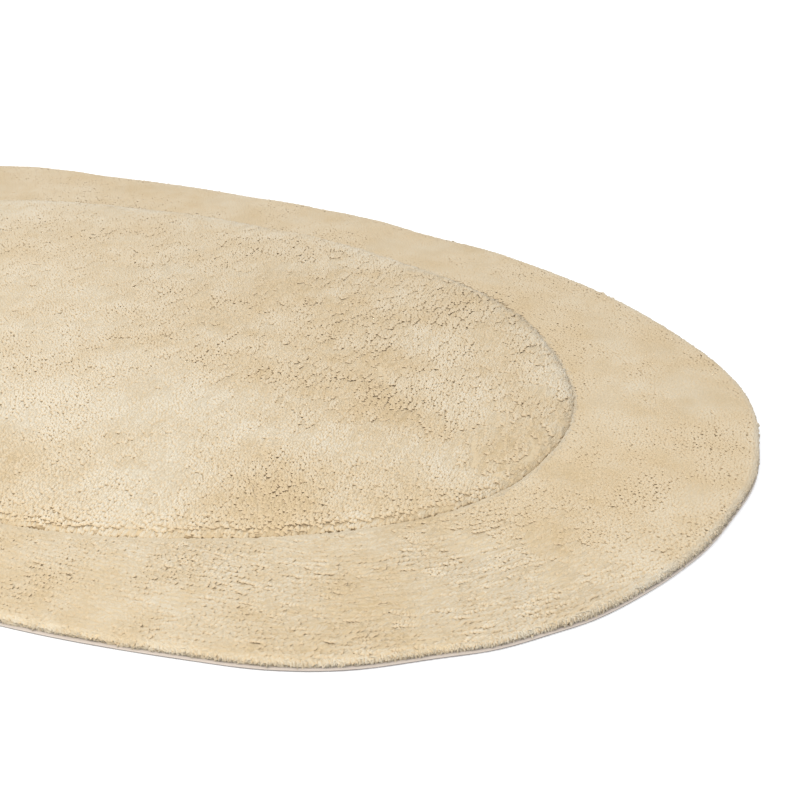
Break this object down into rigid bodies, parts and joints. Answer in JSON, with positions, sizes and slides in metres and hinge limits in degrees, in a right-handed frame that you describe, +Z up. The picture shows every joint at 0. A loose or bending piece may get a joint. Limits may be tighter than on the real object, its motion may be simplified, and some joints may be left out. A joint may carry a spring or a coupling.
{
  "type": "cotton rug",
  "caption": "Oval tufted cotton rug in plain ivory, lying flat: a raised oval field inside a lower border, set apart by a carved crease, on a woven canvas with a turned hem.",
  "frame": {"origin": "middle of the rug's outline, on the floor", "axes": "+X along the rug's length, +Y across it, +Z up out of the pile"},
  "size_m": [1.6042, 1.0138, 0.0201],
  "materials": {
    "canvas_cotton": "matt plain-woven cotton canvas",
    "pile_cotton": "matt cut cotton pile"
  },
  "bodies": {
    "root": {"canvas_backing": "canvas_cotton", "tufted_pile": "pile_cotton"}
  },
  "joints": []
}
